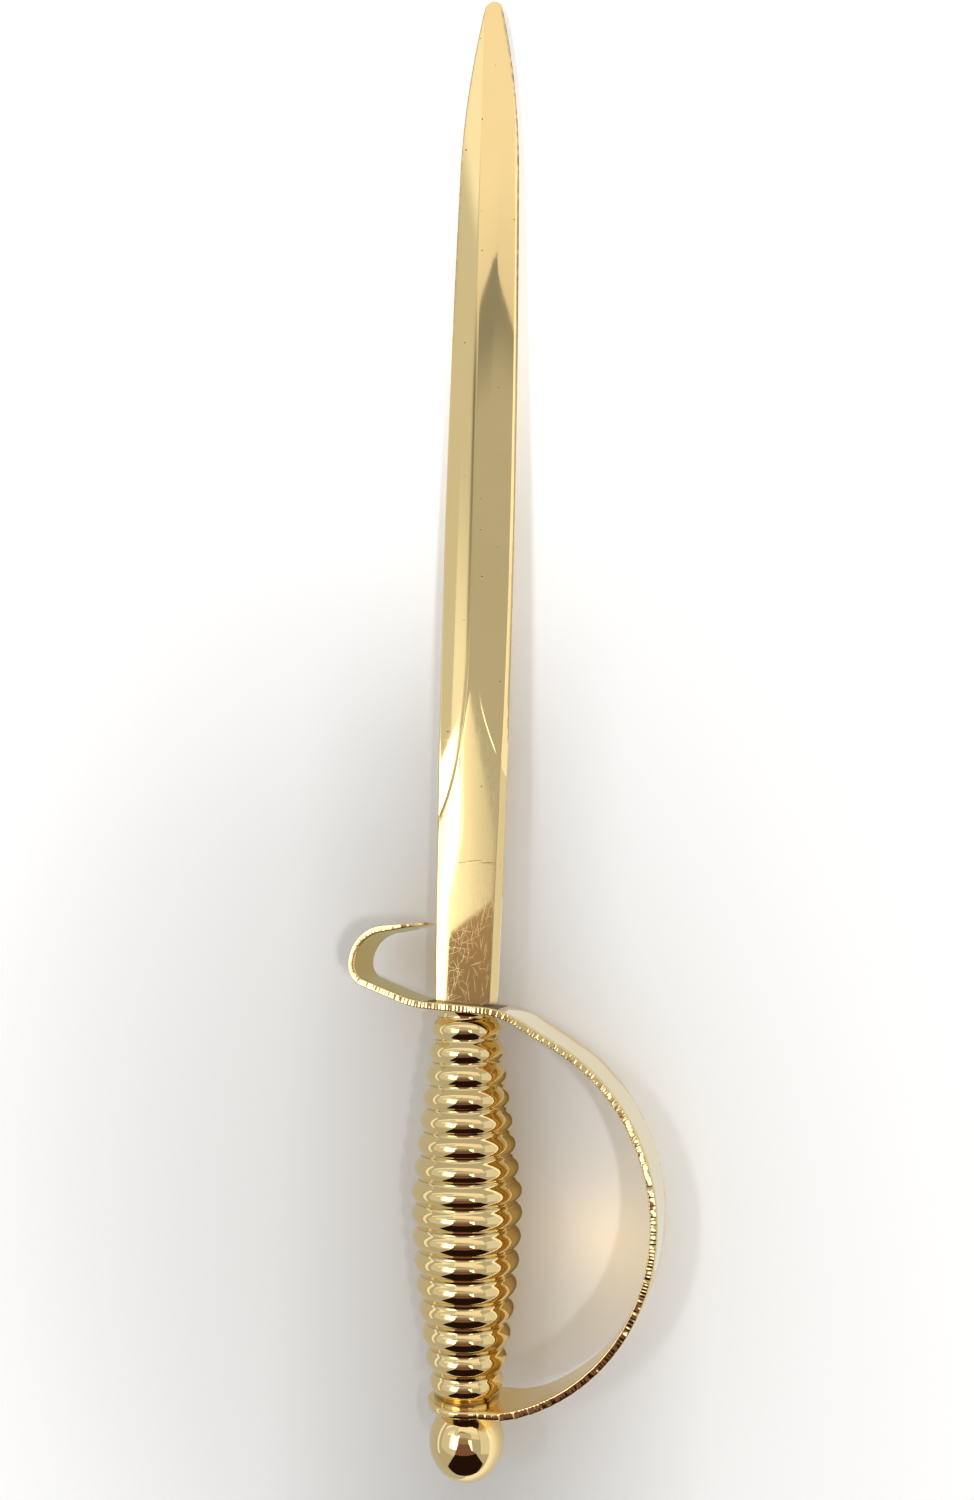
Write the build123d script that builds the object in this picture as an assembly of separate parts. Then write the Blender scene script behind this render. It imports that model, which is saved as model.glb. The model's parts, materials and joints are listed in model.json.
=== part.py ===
from build123d import *

import os
from math import asin, atan2, cos, degrees, hypot, radians, sin, sqrt, tan

# Letter opener shaped like a small sabre: a ground blade whose tang runs through a bent strip guard, a beaded
# grip and the guard's round eye into a ball pommel that clamps the stack. Millimetres and degrees.
# Handle frame: Y runs up the handle to the blade tip, X to the knuckle bow, Z out of the blade's face.
# Zero is the middle of the guard's seat, where the blade's shoulder stands.

# Blade
BLADE_LENGTH = 162.0
BLADE_LEAN = 1.65
SHOULDER_WIDTH = 8.9
BELLY_WIDTH = 10.7
BELLY_AT = 62.0
POINT_WIDTH = 9.6
POINT_AT = 131.0
NOSE_WIDTH = 2.8
NOSE_LENGTH = 0.8
BLADE_THICKNESS = 2.4
TAPER_FROM = 52.0
TIP_THICKNESS = 1.4
FLAT_WIDTH = 2.1
EDGE_THICKNESS = 0.9
BEVEL_THINNING = 0.36
LEFT_RUNOUT_FROM = 52.0
LEFT_RUNOUT_TO = 25.5
RIGHT_RUNOUT_FROM = 46.0
RIGHT_RUNOUT_TO = 32.0
RICASSO_CHAMFER = 0.6
SHOULDER_RISE = 0.12

# Tang
TANG_WIDTH = 5.0
TANG_THICKNESS = 2.0
ROD_DIAMETER = 3.0
ROD_IN_POMMEL = 4.5

# Guard strip
STRIP_WIDTH = 9.6
STRIP_THICKNESS = 1.0
EYE_DIAMETER = 10.5
SEAT_TILT = 5.0
SEAT_TO_BOW = 3.1
BOW_FALL = 31.0
BOW_TOP_BEND = 11.2
BOW_OFFSET = 0.5
BOW_DIP = 0.5
BOW_LOW_BEND = 11.0
BOW_FLARE = 0.75
CURL_RISE = 21.8
CURL_ROOT_BEND = 14.5
CURL_RUN = 5.6
CURL_LOW_BEND = 2.8
CURL_TOP_BEND = 5.0
CURL_LEVEL = 6.7
CURL_TIP_RUN = 6.1
CURL_TIP_THICKNESS = 0.35
CURL_TIP_CORNER = 3.4

# Grip
GRIP_LENGTH = 50.8
GRIP_BELLY_AT = 24.7
NECK_DIAMETER = 5.2
NECK_LENGTH = 0.8
FOOT_DIAMETER = 8.8
FOOT_LENGTH = 0.4
BEADS = 16
BEAD_HEIGHT = 0.5
TOP_BEAD_DIAMETER = 9.9
GRIP_BELLY_DIAMETER = 15.5
FOOT_BEAD_DIAMETER = 9.9
LOWER_CURVE = 1.65

# Pommel
POMMEL_DIAMETER = 10.0
POMMEL_SEAT_DIAMETER = 5.4

# Clearances
SLOT_CLEARANCE = 0.1
ROD_CLEARANCE = 0.15
SHOULDER_CLEARANCE = 0.25
BORE_END_CLEARANCE = 0.5

# Places along the handle that the pieces share
GUARD_UNDERSIDE = -STRIP_THICKNESS
GRIP_END = GUARD_UNDERSIDE - GRIP_LENGTH
EYE_MIDDLE = GRIP_END - STRIP_THICKNESS / 2
EYE_END = GRIP_END - STRIP_THICKNESS
ROD_END = EYE_END - ROD_IN_POMMEL
POMMEL_CENTRE = EYE_END - sqrt(POMMEL_DIAMETER**2 - POMMEL_SEAT_DIAMETER**2) / 2
BORE_RADIUS = ROD_DIAMETER / 2 + ROD_CLEARANCE

# The square shoulder stands on the high side of the tilted seat and leaves a wedge open over its low side
PLATE_FOOT = SHOULDER_RISE
SEAT = Pos(Y=GUARD_UNDERSIDE / 2) * Rot(Z=-SEAT_TILT)
BEVEL_DROP = (BLADE_THICKNESS - EDGE_THICKNESS) / 2
BEVEL_SLOPE = 2 * BEVEL_DROP / (BELLY_WIDTH - FLAT_WIDTH)


# The blade's outline, upright in its own frame: long arcs for the sides, closing in to a rounded nose
def blade_outline():
    nose = (NOSE_WIDTH / 2, BLADE_LENGTH - NOSE_LENGTH)
    side = ThreePointArc((SHOULDER_WIDTH / 2, PLATE_FOOT), (BELLY_WIDTH / 2, BELLY_AT), (POINT_WIDTH / 2, POINT_AT))
    point = TangentArc(side @ 1, nose, tangent=side % 1)
    right = [side, point]
    left = [mirror(edge, about=Plane.YZ) for edge in right]
    tip = ThreePointArc(nose, (0, BLADE_LENGTH), (-nose[0], nose[1]))
    base = Line((-SHOULDER_WIDTH / 2, PLATE_FOOT), (SHOULDER_WIDTH / 2, PLATE_FOOT))
    return make_face(right + [tip] + left + [base])


# The blade's thickness seen from the side: parallel near the guard, then a straight taper to the tip
def thickness_side():
    upper = [(PLATE_FOOT, BLADE_THICKNESS / 2), (TAPER_FROM, BLADE_THICKNESS / 2), (BLADE_LENGTH, TIP_THICKNESS / 2)]
    lower = [(y, -z) for y, z in reversed(upper)]
    return Plane.YZ * make_face(Polyline(*upper, *lower, close=True))


# What the grinding wheel takes off one side of one face, ending in a curved run-out towards the guard
def bevel_cut(runout_from, runout_to):
    face = BLADE_THICKNESS / 2
    above = face + BLADE_THICKNESS
    tip = (BLADE_LENGTH + NOSE_LENGTH, face - BEVEL_THINNING)
    ground = Line(tip, (runout_from, face))
    wheel = TangentArc(ground @ 1, (runout_to, face + BEVEL_DROP), tangent=ground % 1)
    lid = Polyline(wheel @ 1, (runout_to, above), (tip[0], above), tip)
    profile = Plane.YZ.offset(FLAT_WIDTH / 2) * make_face([ground, wheel, lid])
    return extrude(profile, amount=BELLY_WIDTH, dir=(1, 0, -BEVEL_SLOPE))


# Everything below a level that is measured square to the tilted seat, from the middle of the strip
def below_seat(level):
    return SEAT * Pos(Y=level - BLADE_LENGTH) * Box(2 * BLADE_LENGTH, 2 * BLADE_LENGTH, 2 * BLADE_LENGTH)


# Blade, ground on both faces, with its flat tang and the rod that the pommel screws on
def blade():
    plate = extrude(blade_outline(), amount=BLADE_THICKNESS, both=True)
    plate = plate & extrude(thickness_side(), amount=BELLY_WIDTH, both=True)
    plate = chamfer(plate.edges().filter_by(GeomType.CIRCLE), RICASSO_CHAMFER)
    right = bevel_cut(RIGHT_RUNOUT_FROM, RIGHT_RUNOUT_TO)
    left = mirror(bevel_cut(LEFT_RUNOUT_FROM, LEFT_RUNOUT_TO), about=Plane.YZ)
    for cut in (right, left):
        plate = plate - cut - mirror(cut, about=Plane.XY)
    leaning = Rot(Z=-BLADE_LEAN) * plate
    tang = Box(TANG_WIDTH, SHOULDER_WIDTH, TANG_THICKNESS) - below_seat(-STRIP_THICKNESS / 2)
    rod = Pos(Y=ROD_END / 2) * Rot(X=90) * Cylinder(ROD_DIAMETER / 2, -ROD_END)
    rod = rod & below_seat(-STRIP_THICKNESS / 2)
    return leaning - below_seat(STRIP_THICKNESS / 2) + tang + rod


# How far along the tilted seat the bow's straight fall meets it, for an edge of the strip that stands out by flare
def seat_corner(flare):
    bend = radians(BOW_FALL - SEAT_TILT)
    return SEAT_TO_BOW + flare / sin(bend) + BOW_TOP_BEND * tan(bend / 2)


# Radius of the bow's centre line: it dips just below the eye, and its upper tangent runs to the seat's corner
def bow_radius(flare):
    fall = radians(BOW_FALL)
    tilt = radians(SEAT_TILT)
    corner = seat_corner(flare)
    across = corner * cos(tilt) - BOW_OFFSET
    along = GRIP_LENGTH + STRIP_THICKNESS + BOW_DIP + flare - corner * sin(tilt)
    return (across * sin(fall) + along * cos(fall)) / (1 + cos(fall))


# The bow's centre line from the eye to the middle of the seat, as (length, radius, turn) with left turns positive
def bow_path(flare):
    fall = radians(BOW_FALL)
    corner = seat_corner(flare)
    radius = bow_radius(flare)
    top_reach = BOW_TOP_BEND * tan(radians(BOW_FALL - SEAT_TILT) / 2)
    low_height = radius - BOW_DIP - flare - BOW_LOW_BEND
    low_side = sqrt((radius - BOW_LOW_BEND) ** 2 - low_height**2)
    low_turn = degrees(atan2(low_side, low_height))
    straight = (BOW_OFFSET + radius * sin(fall) - corner * cos(radians(SEAT_TILT))) / cos(fall) - top_reach
    return [
        (BOW_OFFSET + low_side, 0, 0),
        (0, BOW_LOW_BEND, low_turn),
        (0, radius, 180 - BOW_FALL - low_turn),
        (straight, 0, 0),
        (0, BOW_TOP_BEND, BOW_FALL - SEAT_TILT),
        (corner - top_reach, 0, 0),
    ]


# The curl's centre line from the middle of the seat to where its tip starts to thin
def curl_path():
    return [
        (SHOULDER_WIDTH / 2 + SHOULDER_CLEARANCE, 0, 0),
        (0, CURL_ROOT_BEND, SEAT_TILT - CURL_RISE),
        (CURL_RUN, 0, 0),
        (0, CURL_LOW_BEND, CURL_RISE - 90),
        (0, CURL_TOP_BEND, CURL_LEVEL - 90),
    ]


# One face of the strip: half a thickness to the left of its path, or to the right when side is -1
def strip_side(path, start, heading, side):
    shift = side * STRIP_THICKNESS / 2
    at = start + Vector(-heading.Y, heading.X) * shift
    edges = []
    for length, radius, turn in path:
        if turn > 0:
            edge = JernArc(at, heading, radius - shift, turn)
        elif turn < 0:
            edge = JernArc(at, heading, radius + shift, turn)
        else:
            edge = Line(at, at + heading * length)
        edges.append(edge)
        at = edge @ 1
        heading = edge % 1
    return edges


# The strip seen edge on, closed at its two ends
def ribbon(left, right):
    ends = [Line(left[0] @ 0, right[0] @ 0), Line(left[-1] @ 1, right[-1] @ 1)]
    return make_face(left + right + ends)


# The bow and its half of the seat, for an edge of the strip that stands out by flare
def bow_ribbon(flare):
    start = Vector(0, EYE_MIDDLE)
    return ribbon(*[strip_side(bow_path(flare), start, Vector(1, 0), side) for side in (1, -1)])


# The curl and its half of the seat, with a tip that thins out
def curl_ribbon():
    heading = Vector(-1, 0).rotate(Axis.Z, -SEAT_TILT)
    faces = []
    for side in (1, -1):
        edges = strip_side(curl_path(), SEAT.position, heading, side)
        at = edges[-1] @ 1
        ahead = edges[-1] % 1
        across = Vector(-ahead.Y, ahead.X)
        thinning = side * (STRIP_THICKNESS - CURL_TIP_THICKNESS) / 2
        edges.append(Line(at, at + ahead * CURL_TIP_RUN - across * thinning))
        faces.append(edges)
    return ribbon(*faces)


# Guard: one strip bent into a curl, the seat under the blade, the knuckle bow and the round eye
def hand_guard():
    near = Pos(Z=STRIP_WIDTH / 2) * bow_ribbon(0)
    far = Pos(Z=-STRIP_WIDTH / 2) * bow_ribbon(BOW_FLARE)
    bow = loft([near, far], ruled=True)
    curl = extrude(curl_ribbon(), amount=STRIP_WIDTH / 2, both=True)
    tip = curl.faces().sort_by(SortBy.AREA)[0]
    curl = fillet(tip.edges().sort_by(SortBy.LENGTH)[:2], CURL_TIP_CORNER)
    eye = Pos(Y=EYE_MIDDLE) * Rot(X=90) * Cylinder(EYE_DIAMETER / 2, STRIP_THICKNESS)
    hole = Pos(Y=EYE_MIDDLE) * Rot(X=90) * Cylinder(BORE_RADIUS, 2 * STRIP_THICKNESS)
    slot_width = TANG_WIDTH + 2 * SLOT_CLEARANCE
    slot_height = TANG_THICKNESS + 2 * SLOT_CLEARANCE
    slot = Pos(Y=GUARD_UNDERSIDE / 2) * Box(slot_width, 2 * STRIP_THICKNESS, slot_height)
    return bow + curl + eye - hole - slot


# Radius of the grip over its crests: a straight taper above the belly, a round one below it
def crest_radius(depth, first, last):
    belly = GRIP_BELLY_DIAMETER / 2
    if depth < GRIP_BELLY_AT:
        share = (GRIP_BELLY_AT - depth) / (GRIP_BELLY_AT - first)
        return belly - share * (belly - TOP_BEAD_DIAMETER / 2)
    share = (depth - GRIP_BELLY_AT) / (last - GRIP_BELLY_AT)
    return belly - share**LOWER_CURVE * (belly - FOOT_BEAD_DIAMETER / 2)


# Grip: a turned barrel of beads on a bore, with a foot on the eye and a neck cut to the tilt of the seat
def grip():
    pitch = (GRIP_LENGTH - NECK_LENGTH - FOOT_LENGTH) / BEADS
    first = NECK_LENGTH + pitch / 2
    last = first + (BEADS - 1) * pitch

    def crest(steps):
        depth = first + steps * pitch
        return Vector(crest_radius(depth, first, last), GUARD_UNDERSIDE - depth)

    grooves = [crest(i - 0.5) - Vector(BEAD_HEIGHT, 0) for i in range(BEADS + 1)]
    beads = [ThreePointArc(grooves[i], crest(i), grooves[i + 1]) for i in range(BEADS)]
    neck_top = GUARD_UNDERSIDE + NECK_DIAMETER / 2 * tan(radians(SEAT_TILT))
    neck = Polyline(
        (BORE_RADIUS, neck_top),
        (NECK_DIAMETER / 2, neck_top),
        (NECK_DIAMETER / 2, grooves[0].Y),
        grooves[0],
    )
    foot = Polyline(
        grooves[-1],
        (FOOT_DIAMETER / 2, grooves[-1].Y),
        (FOOT_DIAMETER / 2, GRIP_END),
        (BORE_RADIUS, GRIP_END),
    )
    bore = Line(foot @ 1, neck @ 0)
    barrel = revolve(make_face([neck, *beads, foot, bore]), axis=Axis.Y)
    return barrel & below_seat(-STRIP_THICKNESS / 2)


# Pommel: a ball with a flat seat for the eye and a blind bore for the rod
def pommel():
    ball = POMMEL_DIAMETER / 2
    seat = (POMMEL_SEAT_DIAMETER / 2, EYE_END)
    bore_end = ROD_END - BORE_END_CLEARANCE
    lowest = (0, POMMEL_CENTRE - ball)
    skin = ThreePointArc(seat, (ball, POMMEL_CENTRE), lowest)
    inside = Polyline(lowest, (0, bore_end), (BORE_RADIUS, bore_end), (BORE_RADIUS, EYE_END), seat)
    return revolve(make_face([skin, inside]), axis=Axis.Y)


# Turn from the handle frame to the opener lying on a table, on the grip's belly, the bow and the blade tip
def resting():
    belly = GRIP_BELLY_DIAMETER / 2
    bow_reach = BOW_OFFSET + bow_radius(BOW_FLARE) + STRIP_THICKNESS / 2
    bow_depth = STRIP_WIDTH / 2
    roll = asin(belly / hypot(bow_reach, bow_depth)) - atan2(bow_depth, bow_reach)
    lean = radians(BLADE_LEAN)
    tip_depth = BLADE_LENGTH * sin(lean) * sin(roll) + TIP_THICKNESS / 2 * cos(roll)
    pitch = atan2(belly - tip_depth, BLADE_LENGTH * cos(lean) - GUARD_UNDERSIDE + GRIP_BELLY_AT)
    return Rot(X=-degrees(pitch)) * Rot(Y=degrees(roll))


pieces = {"blade": blade(), "hand_guard": hand_guard(), "grip": grip(), "pommel": pommel()}
turned = {name: resting() * piece for name, piece in pieces.items()}
box = Compound(list(turned.values())).bounding_box()
stand = Pos(-box.center().X, -box.center().Y, -box.min.Z)

os.makedirs("parts", exist_ok=True)
for name, piece in turned.items():
    placed = stand * piece
    export_step(placed, f"parts/{name}.step")
    print(name, "solids", len(placed.solids()), "volume", round(placed.volume, 1))
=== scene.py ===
# %% [markdown]
# # A sabre letter opener in gold plate
# The real object is a small desk sabre: a ground blade, a guard bent from one strip, a beaded grip and a ball
# pommel, all gold plated and polished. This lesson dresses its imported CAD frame. Mirror-bright metal shows every
# facet of a coarse mesh, so each CAD node is replaced by a fine surface of the same shape, worked out with numpy.

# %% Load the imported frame
import json
import math

import bmesh
import bpy
import numpy as np
from mathutils import Matrix, Vector


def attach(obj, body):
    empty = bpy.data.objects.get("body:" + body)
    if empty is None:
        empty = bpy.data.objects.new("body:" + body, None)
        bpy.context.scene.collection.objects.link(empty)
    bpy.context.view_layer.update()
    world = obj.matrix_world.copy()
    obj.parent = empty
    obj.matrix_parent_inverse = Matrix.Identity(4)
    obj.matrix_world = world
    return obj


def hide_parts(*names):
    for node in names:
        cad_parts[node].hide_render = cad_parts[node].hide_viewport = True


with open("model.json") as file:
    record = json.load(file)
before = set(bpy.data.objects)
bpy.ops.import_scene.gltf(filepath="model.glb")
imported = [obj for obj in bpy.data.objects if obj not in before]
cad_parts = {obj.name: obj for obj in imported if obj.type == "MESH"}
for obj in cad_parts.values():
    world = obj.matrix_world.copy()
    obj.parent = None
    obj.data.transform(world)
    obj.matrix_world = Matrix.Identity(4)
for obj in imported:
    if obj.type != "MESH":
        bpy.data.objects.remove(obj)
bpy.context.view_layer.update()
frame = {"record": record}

# %% [markdown]
# ## The handle's own frame
# The opener lies on the table a little rolled and pitched, which makes its shapes awkward to write in the frame's
# axes. A maker measures along the handle instead: Y up the handle to the blade tip, X towards the knuckle bow, Z out
# of the blade's face, in millimetres from the middle of the guard's seat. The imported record's mounts give that frame:
# the hand grip's axis is Y, the flat of the blade faces Z, and the grip's mount sits 26 mm below the seat.

# %% From handle millimetres to frame metres and back
MM = 0.001
GRIP_MOUNT_DEPTH = 26.0
mounts = {mount["name"]: mount for mount in frame["record"]["mounts"]}
HANDLE_Y = np.array(mounts["hand_grip"]["axis"])
HANDLE_Z = np.array(mounts["ricasso_flat"]["axis"])
HANDLE_X = np.cross(HANDLE_Y, HANDLE_Z)
HANDLE_AXES = np.array([HANDLE_X, HANDLE_Y, HANDLE_Z])
HANDLE_ZERO = np.array(mounts["hand_grip"]["pos_m"]) + GRIP_MOUNT_DEPTH * MM * HANDLE_Y


def to_frame(points):
    """Handle millimetres to frame metres: each coordinate times its axis, added to the handle's zero."""
    return HANDLE_ZERO + np.asarray(points) @ HANDLE_AXES * MM


def to_handle(points):
    """Frame metres to handle millimetres: the way from the handle's zero, measured along each axis."""
    return (np.asarray(points) - HANDLE_ZERO) @ HANDLE_AXES.T / MM


print("handle zero", HANDLE_ZERO.round(5), "roll", round(math.degrees(math.asin(-HANDLE_X[2])), 2), "degrees")

# %% [markdown]
# ## Meshes from grids
# A surface worked out as rows and columns of points becomes a mesh by joining each point to its neighbours. Rows or
# columns that run round a closed section wrap to the first one, and points that fall together, as at a pole, are
# merged. Recalculated normals then point outwards on the closed shell.

# %% Cells of a grid
def grid_quads(rows, columns):
    """Four corner indices for every cell of a grid numbered row by row, whose columns wrap round to the first."""
    row, column = np.meshgrid(np.arange(rows - 1), np.arange(columns), indexing="ij")
    beside = (column + 1) % columns
    above, below = row * columns, (row + 1) * columns
    return np.stack([above + column, above + beside, below + beside, below + column], -1).reshape(-1, 4)


def closed_tube_quads(rows, columns):
    """The cells of a tube of closed sections, with one face over each end."""
    last = (rows - 1) * columns
    ends = [list(range(columns))[::-1], list(range(last, last + columns))]
    return grid_quads(rows, columns).tolist() + ends


# %% From a grid to a piece of the opener
MERGE = 2e-7
SHARP = math.radians(38)


def add_piece(name, points, faces, material):
    """A smooth mesh at the origin from handle-frame points, riding on root in place of the node of its own name."""
    mesh = bpy.data.meshes.new(name)
    mesh.from_pydata(to_frame(points.reshape(-1, 3)).tolist(), [], [list(face) for face in faces])
    shell = bmesh.new()
    shell.from_mesh(mesh)
    bmesh.ops.remove_doubles(shell, verts=shell.verts, dist=MERGE)
    bmesh.ops.dissolve_degenerate(shell, edges=shell.edges, dist=MERGE)
    bmesh.ops.recalc_face_normals(shell, faces=shell.faces)
    shell.to_mesh(mesh)
    shell.free()
    mesh.shade_smooth()
    mesh.set_sharp_from_angle(angle=SHARP)
    mesh.materials.append(material)
    piece = bpy.data.objects.new(name, mesh)
    bpy.context.scene.collection.objects.link(piece)
    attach(piece, "root")
    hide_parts(name)
    print(name, "faces", len(mesh.polygons))
    return piece


def piece_points(piece):
    """The piece's vertices in handle millimetres, as one array."""
    flat = np.empty(len(piece.data.vertices) * 3)
    piece.data.vertices.foreach_get("co", flat)
    return to_handle(flat.reshape(-1, 3))


def paint(piece, **marks):
    """One number for each vertex and mark, kept on the mesh for a material to read."""
    for name, values in marks.items():
        values = np.broadcast_to(np.asarray(values, np.float32), len(piece.data.vertices)).copy()
        piece.data.attributes.new(name, "FLOAT", "POINT").data.foreach_set("value", values)
        print(piece.name, name, "from", round(float(values.min()), 2), "to", round(float(values.max()), 2))


# %% [markdown]
# ## Materials: gold plate
# Thin gold over polished brass: a metal, so all of its look is its colour and how sharply it mirrors the room. The
# buffing wheel leaves it almost a mirror, and handling adds hairline scratches, small dark pits where the casting was
# porous, dark nicks and a faint cloudiness. The colour is also painted darker where parts meet, under the blade and at
# the strip's corners, which is painted shade, and along some grooves. Images could carry such marks, but noise worked
# out in the shader stays sharp close up. Colours are written as sRGB hex and turned to the linear values that shaders
# use.

# %% Colours and one node helper
def linear(hex_colour):
    """An sRGB hex colour as linear RGBA: each channel c is ((c + 0.055) / 1.055) to the power 2.4, or c / 12.92."""
    channels = np.array([int(hex_colour[i : i + 2], 16) for i in (1, 3, 5)]) / 255
    bright = ((channels + 0.055) / 1.055) ** 2.4
    return (*np.where(channels <= 0.04045, channels / 12.92, bright).tolist(), 1.0)


def node(tree, kind, settings=None, **inputs):
    """The outputs of one new shader node: settings by name, inputs by name or as _number, each a value or a socket."""
    made = tree.nodes.new("ShaderNode" + kind)
    for name, value in (settings or {}).items():
        setattr(made, name, value)
    for name, value in inputs.items():
        socket = made.inputs[int(name[1:])] if name[0] == "_" else made.inputs[name.replace("_", " ")]
        if isinstance(value, bpy.types.NodeSocket):
            tree.links.new(value, socket)
        else:
            socket.default_value = value
    return made.outputs


def new_material(name):
    """A material and its node tree, still empty."""
    material = bpy.data.materials.new(name)
    material.use_nodes = True
    material.node_tree.nodes.clear()
    return material, material.node_tree


# The dark brown is old polish in pits and nicks, and painted shade in corners and where parts meet.
GOLD, PALE_GOLD, POLISH_AND_SHADE_BROWN = "#FDE6AB", "#FADE9E", "#4A3216"
print("gold plate", [round(c, 3) for c in linear(GOLD)])

# %% Hairline scratches
# Real hairlines are a few thousandths of a millimetre wide. These are drawn coarser, so that the render shows them.
SCRATCH_HALF_WIDTH, SCRATCH_STRETCH = 0.013, 110.0
SCRATCH_LAYS = ((0.1, 0.17), (0.5, 0.22), (0.9, 0.19), (1.4, 0.24), (1.9, 0.19), (2.4, 0.22), (2.9, 0.17))


def per_metre(size_mm):
    """Texture scale whose features are about size_mm apart, for coordinates in metres."""
    return 1.0 / (size_mm * MM)


def hairlines(tree, place):
    """Needles round the centres of flat Voronoi cells, each lay turned its own way and drawn out along it; the
    deepest one shows."""
    deepest = 0.0
    for turn, gap in SCRATCH_LAYS:
        drawn_out = node(
            tree, "Mapping", {"vector_type": "TEXTURE"},
            Vector=place, Rotation=(0, 0, turn), Scale=(1, SCRATCH_STRETCH, 1),
        )[0]
        cells = node(tree, "TexVoronoi", {"voronoi_dimensions": "2D"}, Vector=drawn_out, Scale=per_metre(gap))
        needle = node(tree, "MapRange", Value=cells["Distance"], From_Min=SCRATCH_HALF_WIDTH / gap, From_Max=0.0)[0]
        deepest = node(tree, "Math", {"operation": "MAXIMUM"}, _0=deepest, _1=needle)[0]
    return deepest


print("hairlines in", len(SCRATCH_LAYS), "lays")

# %% Casting pits
PIT_RADIUS, SMALLEST_PIT = 0.14, 0.2


def casting_pits(tree, place, dimensions, gap, share):
    """Round holes of many sizes at the centres of Voronoi cells that are gap millimetres apart, in a share of them."""
    cells = node(tree, "TexVoronoi", {"voronoi_dimensions": dimensions}, Vector=place, Scale=per_metre(gap))
    drawn = node(tree, "SeparateColor", Color=cells["Color"])
    chosen = node(tree, "Math", {"operation": "LESS_THAN"}, _0=drawn[0], _1=share)[0]
    size = node(tree, "Math", {"operation": "ADD"}, _0=drawn[1], _1=SMALLEST_PIT)[0]
    away = node(tree, "Math", {"operation": "DIVIDE"}, _0=cells["Distance"], _1=size)[0]
    rim = PIT_RADIUS / gap
    inside = node(tree, "MapRange", Value=away, From_Min=rim, From_Max=rim / 2)[0]
    return node(tree, "Math", {"operation": "MULTIPLY"}, _0=chosen, _1=inside)[0]


print("pits up to", round(2 * PIT_RADIUS * (1 + SMALLEST_PIT), 2), "mm across")

# %% Gold plate over polished brass
SCRATCH_ROUGHNESS, GRIME_AND_SHADE_ROUGHNESS, PIT_DEEPNESS = 0.05, 0.3, 18.0
CLOUD_SIZE, CLOUD_DETAIL, CLOUD_FROM, CLOUD_TO, CLOUD_DULLING = 9.0, 3.0, 0.35, 0.75, 1.5


def gold_plate(name, roughness, scratch_depth, pits_like):
    """Gold plate whose marks come from the piece's own numbers: wear shows hairlines, and the dark mark gives old
    polish in nicks, painted shade where parts meet and at corners, and darker grooves. Lengths are in millimetres, and
    pits_like is the pits' pattern, their gap and their share."""
    material, tree = new_material(name)
    place = node(tree, "TexCoord")["Object"]
    wear, grime = (node(tree, "Attribute", {"attribute_name": mark})["Fac"] for mark in ("wear", "grime"))
    lines = node(tree, "Math", {"operation": "MULTIPLY"}, _0=hairlines(tree, place), _1=wear)[0]
    pits = casting_pits(tree, place, *pits_like)
    dark = node(tree, "Math", {"operation": "MAXIMUM"}, _0=pits, _1=grime)[0]
    cloud = node(tree, "TexNoise", Vector=place, Scale=per_metre(CLOUD_SIZE), Detail=CLOUD_DETAIL)["Fac"]
    plate = node(tree, "Mix", {"data_type": "RGBA"}, _0=cloud, _6=linear(GOLD), _7=linear(PALE_GOLD))[2]
    colour = node(tree, "Mix", {"data_type": "RGBA"}, _0=dark, _6=plate, _7=linear(POLISH_AND_SHADE_BROWN))[2]
    dull = node(
        tree, "MapRange", Value=cloud, From_Min=CLOUD_FROM, From_Max=CLOUD_TO,
        To_Min=roughness, To_Max=roughness * CLOUD_DULLING,
    )[0]
    for mark, duller in ((lines, SCRATCH_ROUGHNESS), (grime, GRIME_AND_SHADE_ROUGHNESS)):
        dull = node(tree, "Math", {"operation": "MULTIPLY_ADD"}, _0=mark, _1=duller, _2=dull)[0]
    depth = node(tree, "Math", {"operation": "MULTIPLY_ADD"}, _0=pits, _1=PIT_DEEPNESS, _2=lines)[0]
    bump = node(tree, "Bump", {"invert": True}, Height=depth, Strength=1.0, Distance=scratch_depth * MM)[0]
    shader = node(tree, "BsdfPrincipled", Base_Color=colour, Metallic=1.0, Roughness=dull, Normal=bump)[0]
    node(tree, "OutputMaterial", Surface=shader)
    return material


plated_blade = gold_plate("gold_plate_ground_and_buffed", 0.035, 0.0011, ("2D", 2.6, 0.16))
plated_strip = gold_plate("gold_plate_on_sheared_strip", 0.10, 0.0015, ("3D", 1.2, 0.15))
plated_turning = gold_plate("gold_plate_mirror_turned", 0.03, 0.0008, ("3D", 2.0, 0.20))
print("materials", [m.name for m in (plated_blade, plated_strip, plated_turning)])

# %% [markdown]
# ## The blade's outline
# The blade is ground from flat bar: its sides are long arcs that swell from the shoulder to the belly, close in to the
# point and end in a small round nose. A drawing gives such a side by three points and a tangent arc, so the same is
# done here: a circle through three points, one that leaves a point along a tangent, and the half width is read off
# those circles at any height.

# %% Circles of the outline
BLADE_LENGTH, BLADE_LEAN = 162.0, math.radians(1.65)
SHOULDER_WIDTH, BELLY_WIDTH, POINT_WIDTH, NOSE_WIDTH = 8.9, 10.7, 9.6, 2.8
SHOULDER_RISE, BELLY_AT, POINT_AT, NOSE_LENGTH = 0.12, 62.0, 131.0, 0.8


def circle_through(a, b, c):
    """Centre and radius of the circle through three points, from the two equations of equal distance."""
    a, b, c = (np.array(p, float) for p in (a, b, c))
    centre = np.linalg.solve(2 * np.array([b - a, c - a]), [b @ b - a @ a, c @ c - a @ a])
    return centre, np.linalg.norm(a - centre)


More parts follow.
